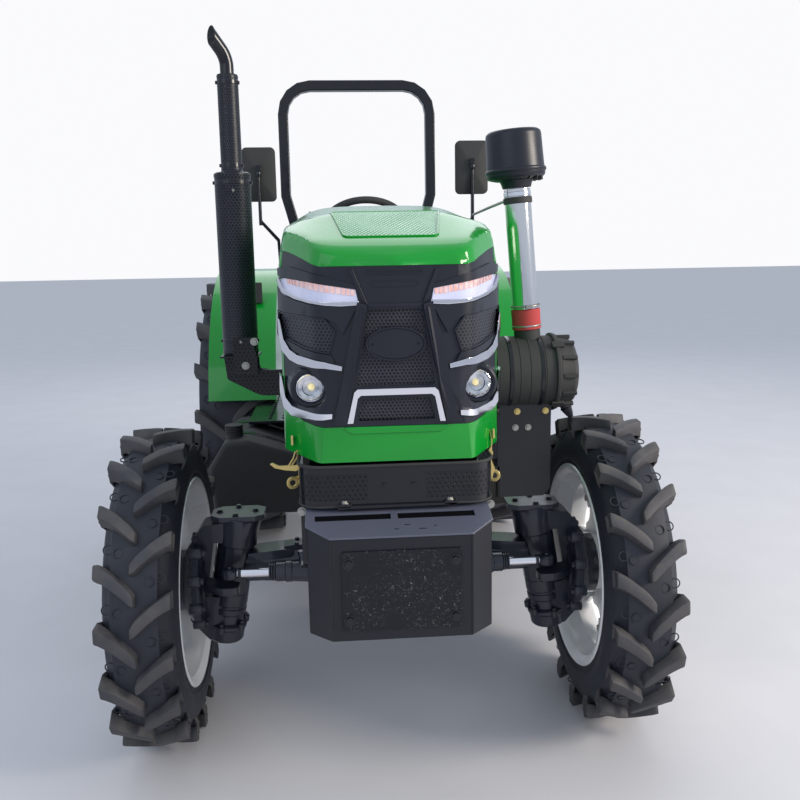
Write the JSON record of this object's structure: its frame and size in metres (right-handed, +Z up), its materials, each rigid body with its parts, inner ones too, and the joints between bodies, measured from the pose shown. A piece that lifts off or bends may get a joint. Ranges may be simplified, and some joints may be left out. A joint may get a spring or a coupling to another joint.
{
  "type": "farm tractor",
  "caption": "Compact four-wheel-drive farm tractor with an open driving platform, two-post rollbar, lifting hood, front ballast box and rear three-point linkage",
  "frame": {"origin": "on the ground, in the middle of the length and width", "axes": "+Z up, -Y toward the nose, +X toward the tractor's left side"},
  "size_m": [1.67, 3.55, 2.406],
  "materials": {
    "green_paint": "gloss green paint",
    "frame_paint": "satin blue-black paint on castings",
    "black_paint": "satin black paint",
    "textured_black": "coarse textured black coat",
    "black_plastic": "moulded black plastic",
    "rim_paint": "gloss off-white paint",
    "tyre": "dull tyre rubber",
    "polished_steel": "polished steel",
    "machined_steel": "machined steel",
    "red_hose": "red moulded hose",
    "seat_vinyl": "black vinyl",
    "lamp_glass": "clear lamp lenses in black housings",
    "chrome_trim": "bright trim strips",
    "zinc_plate": "yellow zinc plating",
    "mirror_body": "black plastic shell"
  },
  "bodies": {
    "chassis": {"fenders": "green_paint", "front_frame": "frame_paint", "engine_block": "frame_paint", "gearbox": "frame_paint", "rear_axle": "frame_paint", "front_axle": "frame_paint", "steering_cylinder": "black_paint", "rollbar": "black_paint", "exhaust_shield": "black_paint", "exhaust_bracket": "black_paint", "cleaner_bracket": "black_paint", "nose_wrap": "black_paint", "steering_column": "black_paint", "seat_base": "black_paint", "mirror_arms": "black_paint", "drawbar": "black_paint", "platform": "black_paint", "radiator": "black_paint", "exhaust_pipe": "black_paint", "weight_box": "textured_black", "air_cleaner": "black_plastic", "pre_cleaner": "black_plastic", "fuel_tank": "black_plastic", "battery_box": "black_plastic", "console": "black_plastic", "controls": "black_plastic", "mirror_heads": "mirror_body", "intake_pipe": "polished_steel", "intake_sleeve": "red_hose", "seat_pads": "seat_vinyl", "nose_latches": "zinc_plate"},
    "hood": {"hood": "green_paint", "top_mesh": "green_paint", "front_mask": "black_plastic", "grilles": "black_plastic", "headlights": "lamp_glass", "round_lamps": "lamp_glass", "mask_trim": "chrome_trim"},
    "steering_wheel": {"steering_wheel": "black_plastic"},
    "knuckle_left": {"knuckle_left": "frame_paint"},
    "knuckle_right": {"knuckle_right": "frame_paint"},
    "steering_rod": {"steering_rod": "machined_steel"},
    "front_wheel_left": {"front_rim_left": "rim_paint", "front_tyre_left": "tyre"},
    "front_wheel_right": {"front_rim_right": "rim_paint", "front_tyre_right": "tyre"},
    "rear_wheel_left": {"rear_rim_left": "rim_paint", "rear_tyre_left": "tyre"},
    "rear_wheel_right": {"rear_rim_right": "rim_paint", "rear_tyre_right": "tyre"},
    "lower_links": {"lower_links": "black_paint"},
    "lift_rods": {"lift_rods": "black_paint"},
    "lift_arms": {"lift_arms": "black_paint"},
    "pto_shaft": {"pto_shaft": "machined_steel"}
  },
  "joints": [
    {"name": "steer_left", "type": "hinge", "parent": "chassis", "child": "knuckle_left", "pos_m": [0.5, -1.135, 0.488], "axis": [-0.1633, 0, 0.9866], "range_deg": [-38, 38]},
    {"name": "steer_right", "type": "hinge", "parent": "chassis", "child": "knuckle_right", "pos_m": [-0.5, -1.135, 0.488], "axis": [0.1633, 0, 0.9866], "range_deg": [-38, 38]},
    {"name": "steer_slide", "type": "slide", "parent": "chassis", "child": "steering_rod", "axis": [1, 0, 0], "range_m": [-0.074, 0.074]},
    {"name": "wheel_steer", "type": "hinge", "parent": "chassis", "child": "steering_wheel", "pos_m": [0, 0.155, 1.612], "axis": [0, 0.6428, 0.766], "range_deg": [-500, 500]},
    {"name": "spin_front_left", "type": "hinge", "parent": "knuckle_left", "child": "front_wheel_left", "pos_m": [0.702, -1.135, 0.488], "axis": [1, 0, 0], "continuous": true},
    {"name": "spin_front_right", "type": "hinge", "parent": "knuckle_right", "child": "front_wheel_right", "pos_m": [-0.702, -1.135, 0.488], "axis": [1, 0, 0], "continuous": true},
    {"name": "spin_rear_left", "type": "hinge", "parent": "chassis", "child": "rear_wheel_left", "pos_m": [0.641, 0.915, 0.683], "axis": [1, 0, 0], "continuous": true},
    {"name": "spin_rear_right", "type": "hinge", "parent": "chassis", "child": "rear_wheel_right", "pos_m": [-0.641, 0.915, 0.683], "axis": [1, 0, 0], "continuous": true},
    {"name": "hood_lift", "type": "hinge", "parent": "chassis", "child": "hood", "pos_m": [0, -0.365, 1.62], "axis": [-1, 0, 0], "range_deg": [0, 50]},
    {"name": "hitch_lift", "type": "hinge", "parent": "chassis", "child": "lower_links", "pos_m": [0, 1.045, 0.43], "axis": [1, 0, 0], "range_deg": [-14, 26]},
    {"name": "arm_lift", "type": "hinge", "parent": "chassis", "child": "lift_arms", "pos_m": [0, 1.045, 0.92], "axis": [1, 0, 0], "range_deg": [-14, 26]},
    {"name": "rod_turn", "type": "hinge", "parent": "lift_arms", "child": "lift_rods", "pos_m": [0, 1.345, 0.92], "axis": [1, 0, 0], "range_deg": [-26, 14]},
    {"name": "pto_spin", "type": "hinge", "parent": "chassis", "child": "pto_shaft", "pos_m": [0, 1.235, 0.56], "axis": [0, 1, 0], "continuous": true}
  ],
  "couplings": [
    {"joint": "steer_right", "follows": "steer_left", "ratio": 1},
    {"joint": "steer_slide", "follows": "steer_left", "m_per_rad": 0.10675},
    {"joint": "wheel_steer", "follows": "steer_left", "ratio": 12},
    {"joint": "arm_lift", "follows": "hitch_lift", "ratio": 1},
    {"joint": "rod_turn", "follows": "hitch_lift", "ratio": -1}
  ]
}
